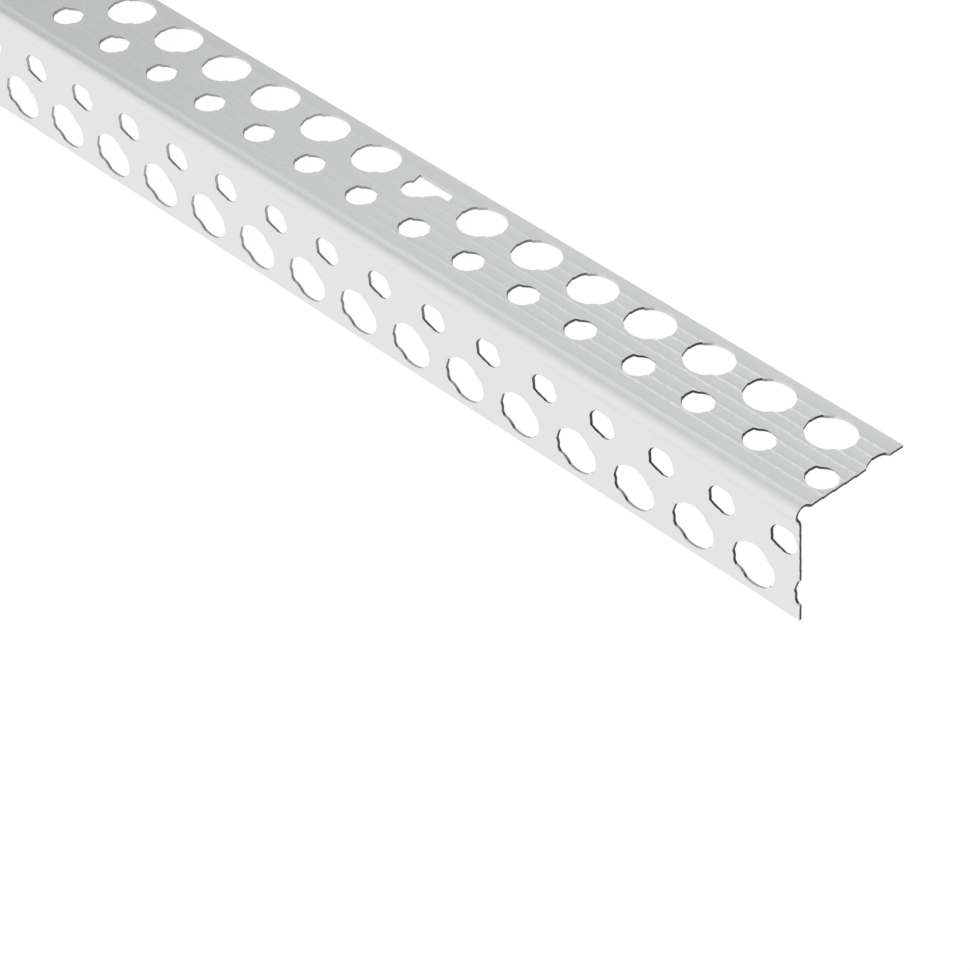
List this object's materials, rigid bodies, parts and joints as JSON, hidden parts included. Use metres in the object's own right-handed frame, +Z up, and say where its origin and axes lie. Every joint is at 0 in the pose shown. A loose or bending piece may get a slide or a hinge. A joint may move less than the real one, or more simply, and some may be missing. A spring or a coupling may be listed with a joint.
{
  "type": "corner bead",
  "caption": "Perforated aluminium angle bead with a rounded nose and two wings, each with two staggered rows of holes.",
  "frame": {"origin": "on the floor under the middle of the bead, which lies on the edges of its wings with its nose up", "axes": "+X along the bead to its near cut end, +Y towards the wing with the unfinished hole, +Z up through the nose"},
  "size_m": [2.5, 0.0328, 0.0196],
  "materials": {
    "mill_aluminium": "satin, mill finish"
  },
  "bodies": {
    "root": {"corner_bead": "mill_aluminium"}
  },
  "joints": []
}
